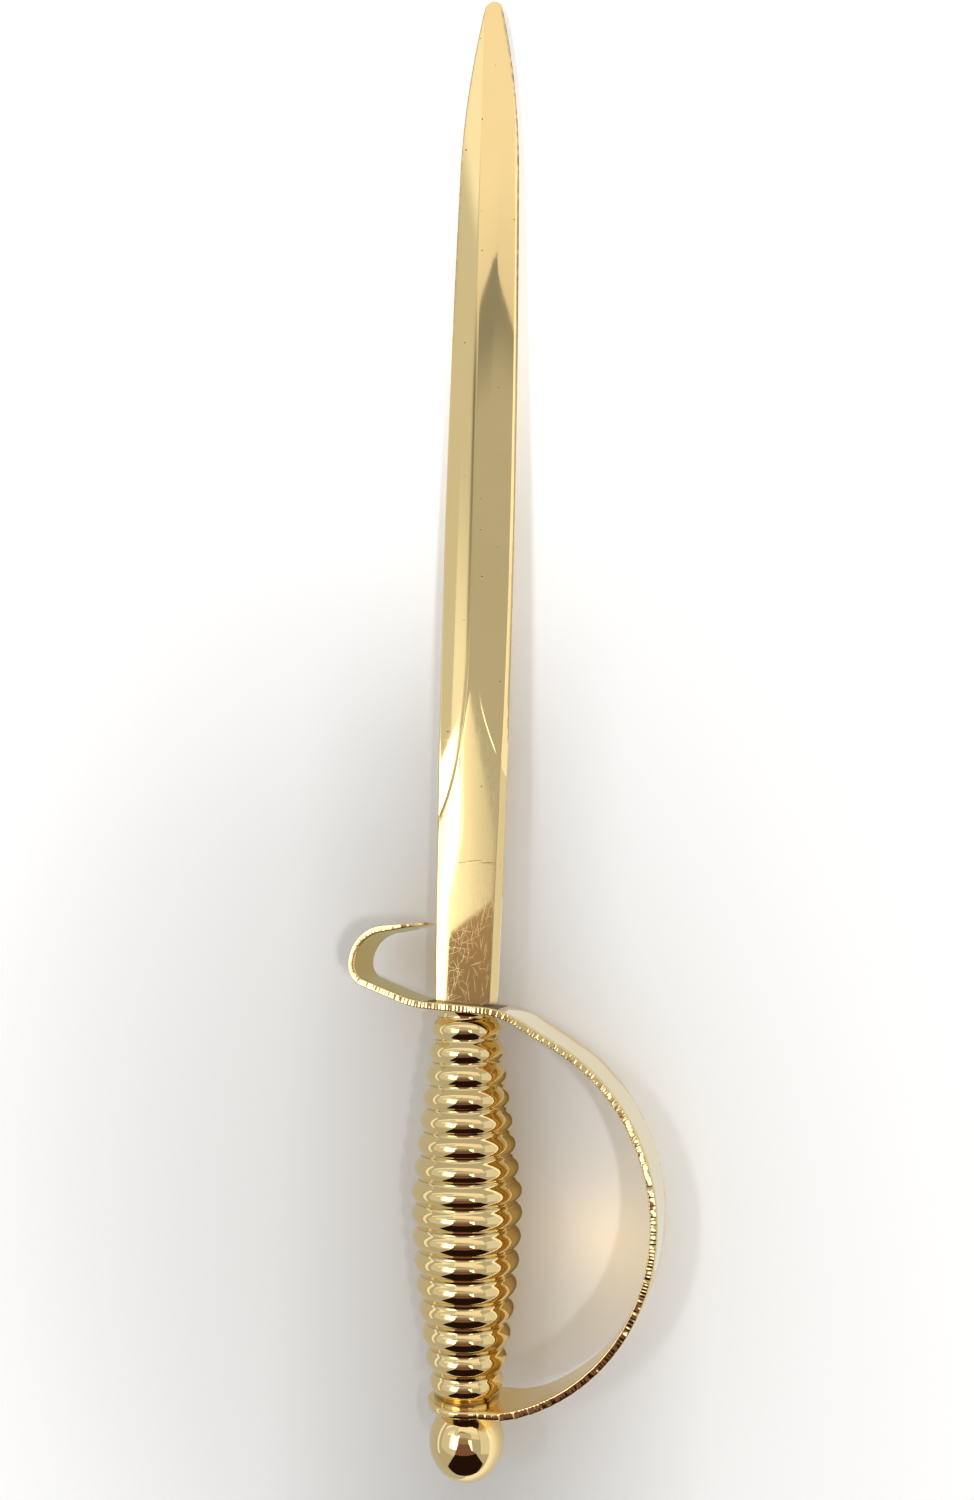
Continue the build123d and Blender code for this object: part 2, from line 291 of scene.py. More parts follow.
def circle_along(start, tangent, end):
    """Centre and radius of the circle that leaves start along tangent and reaches end."""
    start, tangent, end = (np.array(p, float) for p in (start, tangent, end))
    normal = np.array([-tangent[1], tangent[0]])
    chord = end - start
    radius = chord @ chord / (2 * normal @ chord)
    return start + normal * radius, abs(radius)


# %% Half the blade's width
SIDE_END = np.array([POINT_WIDTH / 2, POINT_AT])
SIDE = circle_through((SHOULDER_WIDTH / 2, SHOULDER_RISE), (BELLY_WIDTH / 2, BELLY_AT), SIDE_END)
SIDE_WAY = np.array([-(SIDE_END - SIDE[0])[1], (SIDE_END - SIDE[0])[0]]) / SIDE[1]
NOSE_START = (NOSE_WIDTH / 2, BLADE_LENGTH - NOSE_LENGTH)
POINT = circle_along(SIDE_END, SIDE_WAY, NOSE_START)
NOSE = circle_through(NOSE_START, (0, BLADE_LENGTH), (-NOSE_WIDTH / 2, BLADE_LENGTH - NOSE_LENGTH))


def half_width(along):
    """Half the blade's width at a height: the right side of the circle that rules there."""
    def right_side(circle):
        (x, y), radius = circle
        return x + np.sqrt(np.maximum(radius**2 - (along - y) ** 2, 0))
    above = np.where(along < NOSE_START[1], right_side(POINT), right_side(NOSE))
    return np.where(along < POINT_AT, right_side(SIDE), above)


print("half widths", half_width(np.array([0.0, 62, 131, 150, 161, 162])).round(2))

# %% [markdown]
# ## The ground faces
# Each face is a flat that tapers in thickness, with a bevel ground along both sides. The wheel leaves a bevel slightly
# hollow, steeper beside the ridge than at the edge, and lifts out towards the guard in a curved run-out that is long on
# the left and short on the right. A height field over the blade holds all of this: the face's height is the lowest of
# flat and bevels, with the ridge between two of them rounded by a soft minimum.

# %% Flat and bevels
BLADE_THICKNESS, TIP_THICKNESS, TAPER_FROM = 2.4, 1.4, 52.0
FLAT_WIDTH, BEVEL_DROP, BEVEL_THINNING = 2.1, 0.75, 0.36
LEFT_RUNOUT, RIGHT_RUNOUT = (52.0, 25.5), (46.0, 32.0)
BEVEL_WIDTH = (BELLY_WIDTH - FLAT_WIDTH) / 2
RIDGE_STEEPNESS = {-1: 0.27, 1: 0.10}
RIDGE_ROUNDING, RIDGE_LEAST, HALVINGS = 0.012, 0.2, 30


def face_height(along):
    """Half the thickness at the flat: level near the guard, then a straight taper to the tip."""
    share = np.clip((along - TAPER_FROM) / (BLADE_LENGTH - TAPER_FROM), 0, 1)
    return BLADE_THICKNESS / 2 + share * (TIP_THICKNESS - BLADE_THICKNESS) / 2


def ground_height(along, runout):
    """Height of the bevel at the flat's border: a straight grind, lifted by the wheel's arc over the run-out."""
    start, end = runout
    grind = BLADE_THICKNESS / 2 - BEVEL_THINNING * (along - start) / (BLADE_LENGTH + NOSE_LENGTH - start)
    wheel = BEVEL_DROP * (np.maximum(start - along, 0) / (start - end)) ** 2
    return np.where(along > start, grind, BLADE_THICKNESS / 2) + wheel


def bevel_drop(inset, side):
    """How far a bevel has fallen at a distance from the flat: a first slope of its own, then a parabola to the edge."""
    steep = RIDGE_STEEPNESS[side]
    bowed = (BEVEL_DROP - steep * BEVEL_WIDTH) / BEVEL_WIDTH**2
    return steep * inset + bowed * inset**2


def soft_minimum(a, b, rounding):
    """The lower of two heights, with the corner between them rounded off over about the rounding's size."""
    return (a + b - np.sqrt((a - b) ** 2 + (2 * rounding) ** 2)) / 2


def ridge(along, side):
    """Where a bevel meets the flat, measured from the middle: found by halving the distance to the edge."""
    runout = LEFT_RUNOUT if side < 0 else RIGHT_RUNOUT
    low = np.full_like(along, RIDGE_LEAST)
    high = half_width(along)
    for _ in range(HALVINGS):
        middle = (low + high) / 2
        above = ground_height(along, runout) - bevel_drop(middle - FLAT_WIDTH / 2, side) > face_height(along)
        low = np.where(above, middle, low)
        high = np.where(above, high, middle)
    return (low + high) / 2


stations = np.array([5.0, 30, 40, 60, 100, 150])
print("left ridge", ridge(stations, -1).round(2), "right ridge", ridge(stations, 1).round(2))

# %% [markdown]
# ## Buffed and broken borders
# After grinding, the buffing wheel rolls the left border of the plain flat near the guard, so it catches the light as a
# soft white band. The left ridge keeps a fine groove beside the wheel's track, whose colour is painted darker, the
# right one a small burr where its run-out starts, and one deep scratch crosses the flat. The right edge is broken by a
# chamfer from shoulder to tip. Each is a small height that is taken off the ground face or added to it.

# %% Rolled border, groove and burr
ROLL_BORDER_LOW, ROLL_BORDER_HIGH, ROLL_FROM, ROLL_TO = 3.1, 1.6, 12.0, 25.0
ROLL_SLOPE, ROLL_SOFTNESS = 0.2, 0.5
GROOVE_DEPTH, GROOVE_FROM, GROOVE_RISE, GROOVE_TO, GROOVE_FADE = 0.04, 25.5, 2.0, 112.0, 20.0
GROOVE_WIDTHS = (26, 50), (0.14, 0.27)
LIP_HEIGHT, LIP_WIDTH = 0.02, 0.11
LIP_STRENGTHS = (35, 37, 45, 48, 60, 64), (0, 1, 1, 0.35, 0.3, 0)


def smooth_step(value, start, end):
    """A soft rise from 0 at start to 1 at end: 3 s squared less 2 s cubed of the share s."""
    share = np.clip((value - start) / (end - start), 0, 1)
    return share * share * (3 - 2 * share)


def bell(distance, width):
    """A bell curve of height 1: e to the power of minus the square of the distance, counted in widths."""
    return np.exp(-((distance / width) ** 2))


def rolled_off(across, along):
    """Height lost to the roll: its slope grows from nothing at the border and levels off, up to the left ridge."""
    border = ROLL_BORDER_LOW + smooth_step(along, ROLL_FROM, ROLL_TO) * (ROLL_BORDER_HIGH - ROLL_BORDER_LOW)
    reach = np.maximum(ridge(along[:, :1], -1) - border, 0)
    inside = np.clip(-across - border, 0, reach)
    return ROLL_SLOPE * inside**2 / (inside + ROLL_SOFTNESS)


def ridge_groove(across, along):
    """How strongly the fine groove shows: a bell beside the left ridge, from the run-out until it fades far up."""
    rise = smooth_step(along, GROOVE_FROM - GROOVE_RISE, GROOVE_FROM)
    fade = 1 - smooth_step(along, GROOVE_TO - GROOVE_FADE, GROOVE_TO)
    return rise * fade * bell(-across - ridge(along[:, :1], -1), np.interp(along, *GROOVE_WIDTHS))


def ridge_lip(across, along):
    """How strongly the burr beside the right run-out shows: a bell on the right ridge, of a strength set by height."""
    return np.interp(along, *LIP_STRENGTHS) * bell(across - ridge(along[:, :1], 1), LIP_WIDTH)


# %% Crown, scratch and chamfer
CROWN_SLOPE, CROWN_FROM, CROWN_TO = 0.034, 60.0, 95.0
SCRATCH_AT, SCRATCH_DEPTH, SCRATCH_WIDTH, SCRATCH_LEFT_END = 20.0, 0.012, 0.07, -3.2
SCRATCH_WAVE, SCRATCH_RIPPLE = (0.16, 1.3), (0.05, 4.1)
CHAMFER_WIDTHS = (20, 35, 60, 130, 158), (0.95, 0.75, 0.6, 0.5, 0.15)


def crowned_off(across, along):
    """Height lost to the crown that buffing gives the upper flat: a parabola that falls left of the right ridge."""
    right = ridge(along[:, :1], 1)
    width = right + ridge(along[:, :1], -1)
    inside = np.clip(right - across, 0, width)
    return CROWN_SLOPE / 2 * smooth_step(along, CROWN_FROM, CROWN_TO) * inside**2 / width


def cross_scratch(across, along):
    """Depth of the deep scratch: a narrow bell about a line across the flat, bent by a slow wave and a fast ripple."""
    (wave, slow), (ripple, fast) = SCRATCH_WAVE, SCRATCH_RIPPLE
    line = SCRATCH_AT + wave * np.sin(slow * across) + ripple * np.sin(fast * across + 1)
    return SCRATCH_DEPTH * bell(along - line, SCRATCH_WIDTH) * (across > SCRATCH_LEFT_END)


def chamfer_width(along):
    """Width of the broken right edge: widest on the plain flat, narrow along the bevel, gone at the nose."""
    return np.minimum(np.interp(along, *CHAMFER_WIDTHS), half_width(along) / 3)


# %% Height of the front face
UNDER_FLAT, LEAST_HEIGHT = 0.6, 0.06


def front_height(across, along):
    """Height of the front face over the blade's middle plane: the ground faces, less or plus every small height."""
    height = face_height(along)
    for side, runout in ((-1, LEFT_RUNOUT), (1, RIGHT_RUNOUT)):
        inset = np.maximum(side * across - FLAT_WIDTH / 2, -UNDER_FLAT)
        height = soft_minimum(height, ground_height(along, runout) - bevel_drop(inset, side), RIDGE_ROUNDING)
    height = height - rolled_off(across, along) - crowned_off(across, along) - cross_scratch(across, along)
    height = height - GROOVE_DEPTH * ridge_groove(across, along) + LIP_HEIGHT * ridge_lip(across, along)
    broken = across - half_width(along) + chamfer_width(along)
    return np.maximum(height - np.maximum(broken, 0), LEAST_HEIGHT)


heights = front_height(np.array([[-4.0, 0.0, 4.2]]), np.array([[10.0, 10.0, 10.0]]))
print("heights at left border, middle and right border", heights.round(2))

# %% [markdown]
# ## The blade as closed sections
# A plain height grid would give zigzag ridges where its columns cross them, so the columns follow the ridges: each
# section is split into zones at its edges and ridges, and every zone keeps its own share of points. The section runs
# over the front, round the right edge, back over the rear face and round the left edge.

# %% Columns and rows of the blade
EDGE_ROUND, RIDGE_ZONE, LEAST_ZONE, ZONE_SHARE = 0.22, 0.4, 0.02, 0.9
ZONE_POINTS = (7, 18, 16, 16, 14, 18, 8)
FOOT_BLEND, SCRATCH_ZONE = 6.0, 0.5
FOOT_ROWS, SCRATCH_ROWS, BODY_ROWS, NOSE_ROWS = 16, 23, 310, 14


def zone_columns():
    """For each column over a face: the zone that it lies in and its share of that zone, dense at the rounded edge."""
    zone = np.concatenate([np.full(n, i) for i, n in enumerate(ZONE_POINTS)] + [[len(ZONE_POINTS) - 1]])
    share = np.concatenate([np.arange(n) / n for n in ZONE_POINTS] + [[1.0]])
    return zone, np.where(zone == 0, 1 - np.cos(share * math.pi / 2), share)


def blade_rows():
    """Heights of the sections: close together at the shoulder, the scratch and the nose, even between."""
    foot = np.linspace(0, FOOT_BLEND, FOOT_ROWS)
    scratch = SCRATCH_AT + np.linspace(-SCRATCH_ZONE, SCRATCH_ZONE, SCRATCH_ROWS)
    body = np.linspace(FOOT_BLEND, NOSE_START[1], BODY_ROWS)
    start = math.atan2(NOSE_START[1] - NOSE[0][1], NOSE_START[0])
    nose = NOSE[0][1] + NOSE[1] * np.sin(np.linspace(start, math.pi / 2, NOSE_ROWS))
    return np.unique(np.concatenate([foot, scratch, body, nose]).round(5))


def blade_knots(along):
    """The borders of the zones in each section: edges, the two ridges with a zone round each, and the chamfer."""
    width = half_width(along)
    edge = np.minimum(EDGE_ROUND, width / 2)
    broken = width - chamfer_width(along)
    left = np.minimum(ridge(along, -1), width - edge - LEAST_ZONE)
    right = np.minimum(ridge(along, 1), broken - LEAST_ZONE)
    near_left = np.minimum(RIDGE_ZONE, np.minimum(left, width - edge - left) * ZONE_SHARE)
    near_right = np.minimum(RIDGE_ZONE, np.minimum(right, broken - right) * ZONE_SHARE)
    round_left = (-left - near_left, -left + near_left)
    round_right = (right - near_right, right + near_right)
    return np.stack([-width, edge - width, *round_left, *round_right, broken, width], -1)


print("sections", len(blade_rows()), "columns over a face", sum(ZONE_POINTS) + 1)

# %% Sections of the blade
SEAT_TILT = math.radians(5.0)
FOOT_SLOPE = math.tan(SEAT_TILT - BLADE_LEAN)
WALL_POINTS, EDGE_SHARE = 5, 0.45


def lean(points):
    """Blade points turned towards the bow by the blade's lean."""
    u, v, z = np.moveaxis(points, -1, 0)
    cos, sin = math.cos(BLADE_LEAN), math.sin(BLADE_LEAN)
    return np.stack([u * cos + v * sin, v * cos - u * sin, z], -1)


def blade_sections():
    """Rows of points round the blade; the shoulder stands on the high side of the tilted seat."""
    rows = blade_rows()
    zone, share = zone_columns()
    knots = blade_knots(rows)
    across = knots[:, zone] * (1 - share) + knots[:, zone + 1] * share
    along = np.repeat(rows[:, None], across.shape[1], 1)
    height = front_height(across, along)
    edge = knots[:, 1:2] - knots[:, 0:1]
    outside = np.clip((knots[:, 1:2] - across) / edge, 0, 1)
    height = height - np.minimum(edge, EDGE_SHARE * height) * (1 - np.sqrt(1 - outside**2))
    wall = np.linspace(1, -1, WALL_POINTS + 2)[1:-1]
    right_wall, left_wall = (np.repeat(side, WALL_POINTS, 1) for side in (across[:, -1:], across[:, :1]))
    u = np.concatenate([across, right_wall, across[:, ::-1], left_wall], 1)
    z = np.concatenate([height, height[:, -1:] * wall, -height[:, ::-1], -height[:, :1] * wall], 1)
    v = np.repeat(rows[:, None], u.shape[1], 1)
    foot = np.maximum(SHOULDER_RISE, -u * FOOT_SLOPE)
    return lean(np.stack([u, v + foot * np.clip(1 - v / FOOT_BLEND, 0, 1), z], -1))


# %% Tang and rod below the shoulder
TANG_WIDTH, TANG_THICKNESS, ROD_DIAMETER = 5.0, 2.0, 3.0
STRIP_THICKNESS, GRIP_LENGTH, ROD_IN_POMMEL = 1.0, 50.8, 4.5
ROD_END = -2 * STRIP_THICKNESS - GRIP_LENGTH - ROD_IN_POMMEL


def tang_sections(shoulder):
    """Sections below the shoulder: a rectangle through the guard, then a round rod, point for point with the blade."""
    turn = np.arctan2(shoulder[:, 2] / BLADE_THICKNESS, shoulder[:, 0] / SHOULDER_WIDTH)
    ray = np.stack([np.cos(turn), np.sin(turn)], -1)
    box = ray / np.max(np.abs(ray / np.array([TANG_WIDTH / 2, TANG_THICKNESS / 2])), 1, keepdims=True)
    rod = ray * ROD_DIAMETER / 2
    low = -STRIP_THICKNESS
    levels = [np.stack([p[:, 0], y, p[:, 1]], -1) for y, p in (
        (np.full(len(rod), ROD_END), rod), (low - rod[:, 0] * math.tan(SEAT_TILT), rod),
        (low - box[:, 0] * math.tan(SEAT_TILT), box), (np.full(len(box), SHOULDER_RISE), box),
    )]
    return np.stack(levels)


blade_grid = blade_sections()
blade_grid = np.concatenate([tang_sections(blade_grid[0]), blade_grid])
blade = add_piece("blade", blade_grid, closed_tube_quads(*blade_grid.shape[:2]), plated_blade)


# %% Wear, old polish, painted shade and dark lines on the blade
WEAR_EVERYWHERE, WEAR_BELOW, WEAR_ON_FLAT = 0.1, 0.2, 0.7
# The foot's darkening is painted shade where the blade meets the guard; groove and chamfer lines are painted darker;
# the nicks hold old polish.
GROOVE_DARKENING, CHAMFER_LINE_DARKENING, FOOT_PAINTED_SHADE, RIGHT_EDGE_GRIME, LEFT_EDGE_GRIME = 0.75, 0.55, 0.5, 1.0, 0.6
FOOT_ENDS, PLAIN_FLAT_ENDS, LOWER_PART_ENDS = (0.2, 0.6), (13, 20), (30, 60)
CHAMFER_LINE_ENDS, NICKS_START = (26, 32), (90, 115)
CHAMFER_LINE, NICKS, NICK_WIDTH = 0.05, 260, 0.24
nick_depth = np.random.default_rng(3).uniform(0.25, 1.0, NICKS)


def blade_marks(piece):
    """Hairlines are dense on the plain flat near the guard. The colour is painted darker along the groove and the
    chamfer's border, painted shade lies at the foot, where the blade meets the guard, and old polish lies in the nicks
    of the edges towards the tip. Each is a bell or a soft step of the height along the blade."""
    x, y, _ = piece_points(piece).T
    u = (x * math.cos(BLADE_LEAN) - y * math.sin(BLADE_LEAN))[:, None]
    v = np.maximum(y * math.cos(BLADE_LEAN) + x * math.sin(BLADE_LEAN), 0)[:, None]
    wear = WEAR_EVERYWHERE + WEAR_BELOW * (1 - smooth_step(v, *LOWER_PART_ENDS))
    wear = wear + WEAR_ON_FLAT * (1 - smooth_step(v, *PLAIN_FLAT_ENDS))
    border = half_width(v) - chamfer_width(v)
    line = bell(u - border, CHAMFER_LINE) * (1 - smooth_step(v, *CHAMFER_LINE_ENDS))
    foot = 1 - smooth_step(v, *FOOT_ENDS)
    nicks = np.interp(v, np.linspace(0, BLADE_LENGTH, NICKS), nick_depth)
    rub = nicks * bell(half_width(v) - np.abs(u), NICK_WIDTH) * smooth_step(v, *NICKS_START)
    grime = np.maximum.reduce([
        GROOVE_DARKENING * ridge_groove(u, v), CHAMFER_LINE_DARKENING * line, FOOT_PAINTED_SHADE * foot,
        np.where(u > 0, RIGHT_EDGE_GRIME, LEFT_EDGE_GRIME) * rub,
    ])
    return wear[:, 0], grime[:, 0]


blade_wear, blade_grime = blade_marks(blade)
paint(blade, wear=blade_wear, grime=blade_grime)

# %% [markdown]
# ## The guard's strip
# The guard is one strip of sheet, sheared from stock and bent: a curl at the left, the seat that the blade stands on,
# the knuckle bow and a round eye under the grip. Its centre line is straight runs and arcs. The far edge of the bow
# stands out a little more than the near one, so two centre lines are drawn, one for each edge, and the strip is ruled
# between them. Each line is stepped along in small pieces: the heading is the sum of the turns so far, and the points
# are the sum of the steps.

# %% Sizes of the strip
STRIP_WIDTH, EYE_DIAMETER = 9.6, 10.5
SEAT_TO_BOW, BOW_FALL, BOW_TOP_BEND = 3.1, math.radians(31.0), 11.2
BOW_OFFSET, BOW_DIP, BOW_LOW_BEND, BOW_FLARE = 0.5, 0.5, 11.0, 0.75
CURL_RISE, CURL_ROOT_BEND, CURL_RUN = math.radians(21.8), 14.5, 5.6
CURL_LOW_BEND, CURL_TOP_BEND, CURL_LEVEL = 2.8, 5.0, math.radians(6.7)
CURL_TIP_RUN, CURL_TIP_THICKNESS, CURL_TIP_CORNER, SHOULDER_CLEARANCE = 6.1, 0.35, 3.4, 0.25
EYE_MIDDLE = -STRIP_THICKNESS * 1.5 - GRIP_LENGTH
STEP, LEAST_STEPS = 0.11, 4


def strip_runs(flare):
    """The strip's runs from the eye to the tip of the curl, as (length, turn in radians), for one of its edges. The
    bow's radius is that of the circle that touches both the dip under the eye and the straight that falls from the
    seat."""
    bend = BOW_FALL - SEAT_TILT
    reach = BOW_TOP_BEND * math.tan(bend / 2)
    corner = SEAT_TO_BOW + flare / math.sin(bend) + reach
    side = corner * math.cos(SEAT_TILT)
    depth = GRIP_LENGTH + STRIP_THICKNESS + BOW_DIP + flare - corner * math.sin(SEAT_TILT)
    radius = ((side - BOW_OFFSET) * math.sin(BOW_FALL) + depth * math.cos(BOW_FALL)) / (1 + math.cos(BOW_FALL))
    low_height = radius - BOW_DIP - flare - BOW_LOW_BEND
    low_side = math.sqrt((radius - BOW_LOW_BEND) ** 2 - low_height**2)
    low_turn = math.atan2(low_side, low_height)
    straight = (BOW_OFFSET + radius * math.sin(BOW_FALL) - side) / math.cos(BOW_FALL) - reach
    turns = (
        (BOW_LOW_BEND, low_turn), (radius, math.pi - BOW_FALL - low_turn), (BOW_TOP_BEND, bend),
        (CURL_ROOT_BEND, SEAT_TILT - CURL_RISE), (CURL_LOW_BEND, CURL_RISE - math.pi / 2),
        (CURL_TOP_BEND, CURL_LEVEL - math.pi / 2),
    )
    low, bow, top, root, curl_low, curl_top = [(abs(r * t), t) for r, t in turns]
    seat = (corner - reach + SHOULDER_WIDTH / 2 + SHOULDER_CLEARANCE, 0)
    eye = (EYE_DIAMETER / 2 + BOW_OFFSET + low_side, 0)
    curl = [root, (CURL_RUN, 0), curl_low, curl_top, (CURL_TIP_RUN, 0)]
    return [eye, low, bow, (straight, 0), top, seat] + curl


# %% Centre lines of the strip
def centre_line(runs, steps):
    """Points and headings along the runs: headings are the summed turns, points the summed chords of each step."""
    count = np.array(steps)
    length = np.repeat([l for l, _ in runs] / count, count)
    turn = np.repeat([t for _, t in runs] / count, count)
    heading = np.concatenate([[0], np.cumsum(turn)])
    middle = heading[:-1] + turn / 2
    chord = length * np.sinc(turn / 2 / math.pi)
    x = -EYE_DIAMETER / 2 + np.concatenate([[0], np.cumsum(chord * np.cos(middle))])
    y = EYE_MIDDLE + np.concatenate([[0], np.cumsum(chord * np.sin(middle))])
    return np.stack([x, y], -1), heading, np.concatenate([[0], np.cumsum(length)])


near_runs, far_runs = strip_runs(0), strip_runs(BOW_FLARE)
run_steps = [max(LEAST_STEPS, round(length / STEP)) for length, _ in near_runs]
near_line, near_heading, strip_length = centre_line(near_runs, run_steps)
far_line, far_heading, _ = centre_line(far_runs, run_steps)
RUN_ENDS = np.cumsum([length for length, _ in near_runs])
BOW_STARTS, SEAT_STARTS, CURL_STARTS, CURL_BENDS = EYE_DIAMETER, RUN_ENDS[3], RUN_ENDS[5], RUN_ENDS[7]
print("strip length", round(strip_length[-1], 1), "mm in", len(strip_length), "steps")

# %% [markdown]
# ## Round ends and sheared edges
# The eye is the strip's round end, wider than the strip, and the curl's tip is thinned with rounded corners: both are
# only a half width that changes along the strip. The shear tears the edges into a row of small steps that glitter.
# They are real relief and not a bump: a saw-tooth of about half a millimetre, uneven in depth. Along the bow the near
# edge was also dressed with a file, so it slants a little, and round the curl it was rubbed almost smooth.

# %% Width and thickness of the strip

def strip_half_width(length):
    """Half the strip's width: the eye's circle, then the strip, then the rounded corners of the tip."""
    from_eye = EYE_DIAMETER / 2 - length
    eye = np.sqrt(np.maximum((EYE_DIAMETER / 2) ** 2 - from_eye**2, 0))
    body = np.where(from_eye > 0, eye, np.maximum(eye, STRIP_WIDTH / 2))
    into_corner = np.maximum(CURL_TIP_CORNER - (length[-1] - length), 0)
    corner = CURL_TIP_CORNER - np.sqrt(np.maximum(CURL_TIP_CORNER**2 - into_corner**2, 0))
    return body - corner


def strip_thickness(length):
    """The strip's thickness, thinning in a straight line along the tip of the curl."""
    share = np.clip((length - length[-1] + CURL_TIP_RUN) / CURL_TIP_RUN, 0, 1)
    return STRIP_THICKNESS + share * (CURL_TIP_THICKNESS - STRIP_THICKNESS)

print("half width at eye, bow and tip", strip_half_width(strip_length)[[40, 600, -10]].round(2))

# %% Shear marks and the filed edge
SHEAR_PITCH, SHEAR_DEPTH, SHEAR_GRAIN, SHALLOWEST_TOOTH = 0.48, 0.05, 0.005, 0.4
WANDER, WANDER_KNOTS = 0.35, 60
EDGE_TILT, TOOTH_TILT, TOOTH_RISE = 0.22, 0.05, 0.85
SHEARED = (BOW_STARTS, BOW_STARTS + 3, CURL_STARTS, CURL_BENDS), (0, 1, 1, 0.2)
UNEVEN = (0, BOW_STARTS, CURL_STARTS, CURL_BENDS), (0, 1, 1, 0.2)
FILED_AT = (BOW_STARTS, BOW_STARTS + 12, BOW_STARTS + 24, SEAT_STARTS, SEAT_STARTS + 4, CURL_STARTS, CURL_BENDS)
FILED = FILED_AT, (0, 0.3, 1, 1, 0, 0, 0.3)
rng = np.random.default_rng(7)


def shear_marks(length):
    """Relief of a sheared edge: a saw-tooth whose pitch wanders and whose depth changes from tooth to tooth."""
    wander = np.interp(length, np.linspace(0, length[-1], WANDER_KNOTS), rng.normal(0, WANDER, WANDER_KNOTS))
    tooth = length / SHEAR_PITCH + wander
    depth = rng.uniform(SHALLOWEST_TOOTH, 1.0, int(tooth.max()) + 3)[np.floor(tooth).astype(int) + 1]
    saw = tooth - np.floor(tooth)
    slope = np.where(saw < TOOTH_RISE, saw / TOOTH_RISE, (1 - saw) / (1 - TOOTH_RISE))
    grain = rng.normal(0, SHEAR_GRAIN, len(length))
    return np.interp(length, *SHEARED) * (SHEAR_DEPTH * depth * slope + grain)


def edge_slant(length):
    """Slope of the near edge across the strip: the file's slant, strongest along the bow and none at the eye and the
    seat, and a little more or less from tooth to tooth of the shear."""
    tooth = (length / SHEAR_PITCH).astype(int)
    tooth_tilt = rng.normal(0, TOOTH_TILT, tooth[-1] + 1)[tooth]
    return EDGE_TILT * np.interp(length, *FILED) + np.interp(length, *UNEVEN) * tooth_tilt


# %% The strip as closed sections
FACE_POINTS, EDGE_POINTS = 13, 7
EDGE_SOFTNESS, EYE_SOFTNESS, SOFT_SHARE = 0.2, 0.4, 0.8


def strip_sections():
    """Rows of points round the strip: over its left face, round one sheared edge, back and round the other."""
    half = strip_half_width(strip_length)
    thick = strip_thickness(strip_length) / 2
    soft = np.minimum(np.where(strip_length < EYE_DIAMETER, EYE_SOFTNESS, EDGE_SOFTNESS), thick * SOFT_SHARE)
    face = np.sin(np.linspace(-math.pi / 2, math.pi / 2, FACE_POINTS))
    corner = np.linspace(0, math.pi / 2, EDGE_POINTS)
    flat = np.maximum(half - soft, 0)
    quarter = flat[:, None] + soft[:, None] * np.sin(corner)
    side = (thick - soft)[:, None] + soft[:, None] * np.cos(corner)
    edge = np.concatenate([quarter, quarter[:, ::-1]], 1)
    edge_side = np.concatenate([side, -side[:, ::-1]], 1)
    dent = np.concatenate([np.sin(corner), np.sin(corner)[::-1]]) ** 2
    tilt = edge_slant(strip_length)[:, None] * (thick[:, None] - edge_side)
    near_edge = edge - tilt - shear_marks(strip_length)[:, None] * dent
    far_edge = edge - shear_marks(strip_length)[:, None] * dent
    outer_face = flat[:, None] * face[::-1] - (1 + face[::-1]) / 2 * tilt[:, -1:]
    z = np.concatenate([flat[:, None] * face, near_edge, outer_face, -far_edge], 1)
    inner = np.repeat(thick[:, None], FACE_POINTS, 1)
    offset = np.concatenate([inner, edge_side, -inner, -edge_side], 1)
    far_share = 0.5 - z / STRIP_WIDTH
    line = near_line[:, None] * (1 - far_share[..., None]) + far_line[:, None] * far_share[..., None]
    heading = near_heading[:, None] * (1 - far_share) + far_heading[:, None] * far_share
    return np.stack([line[..., 0] - np.sin(heading) * offset, line[..., 1] + np.cos(heading) * offset, z], -1)


strip_grid = strip_sections()
strip_quads = closed_tube_quads(*strip_grid.shape[:2])
hand_guard = add_piece("hand_guard", strip_grid, strip_quads, plated_strip)

# %% Wear and painted shade on the strip
# Painted shade darkens the strip where a face turns into an edge and on the seat under the blade.
CORNER_PAINTED_SHADE, CORNER_TURN, CORNER_SPREAD, ABOVE_EYE = 0.85, 0.3, 0.12, 0.8
SEAT_PAINTED_SHADE, SEAT_DEPTH, BESIDE_BLADE, SEAT_INSET = 0.9, 0.25, 0.8, 0.3
STRIP_WEAR, EDGE_WEAR, EDGE_ZONE = 0.15, 0.35, (3.8, 4.8)


def strip_grime(piece):
    """Painted shade where a face turns into an edge, a bell of the normal's share across the strip, and on the seat
    under the blade."""
    x, y, z = piece_points(piece).T
    normals = np.empty(3 * len(piece.data.vertices), np.float32)
    piece.data.vertex_normals.foreach_get("vector", normals)
    turn = np.abs(normals.reshape(-1, 3) @ HANDLE_Z)
    corner = CORNER_PAINTED_SHADE * bell(turn - CORNER_TURN, CORNER_SPREAD) * (y > EYE_MIDDLE + ABOVE_EYE)
    near_blade = np.abs(x) < SHOULDER_WIDTH / 2 + BESIDE_BLADE
    on_seat = near_blade & (np.abs(y + x * math.tan(SEAT_TILT)) < SEAT_DEPTH)
    return np.where(on_seat & (np.abs(z) < STRIP_WIDTH / 2 - SEAT_INSET), SEAT_PAINTED_SHADE, corner)


strip_z = piece_points(hand_guard)[:, 2]
strip_wear = STRIP_WEAR + EDGE_WEAR * smooth_step(np.abs(strip_z), *EDGE_ZONE)
paint(hand_guard, wear=strip_wear, grime=strip_grime(hand_guard))

# %% [markdown]
# ## The turned pieces
# Grip and pommel are turned on a lathe, so each is a profile carried round the handle's axis: sixteen beads on a barrel
# that swells to the middle, and a ball. The beads run into narrower rounded grooves. The profile closes through the
# bore, so the surface is a closed shell with no seam.

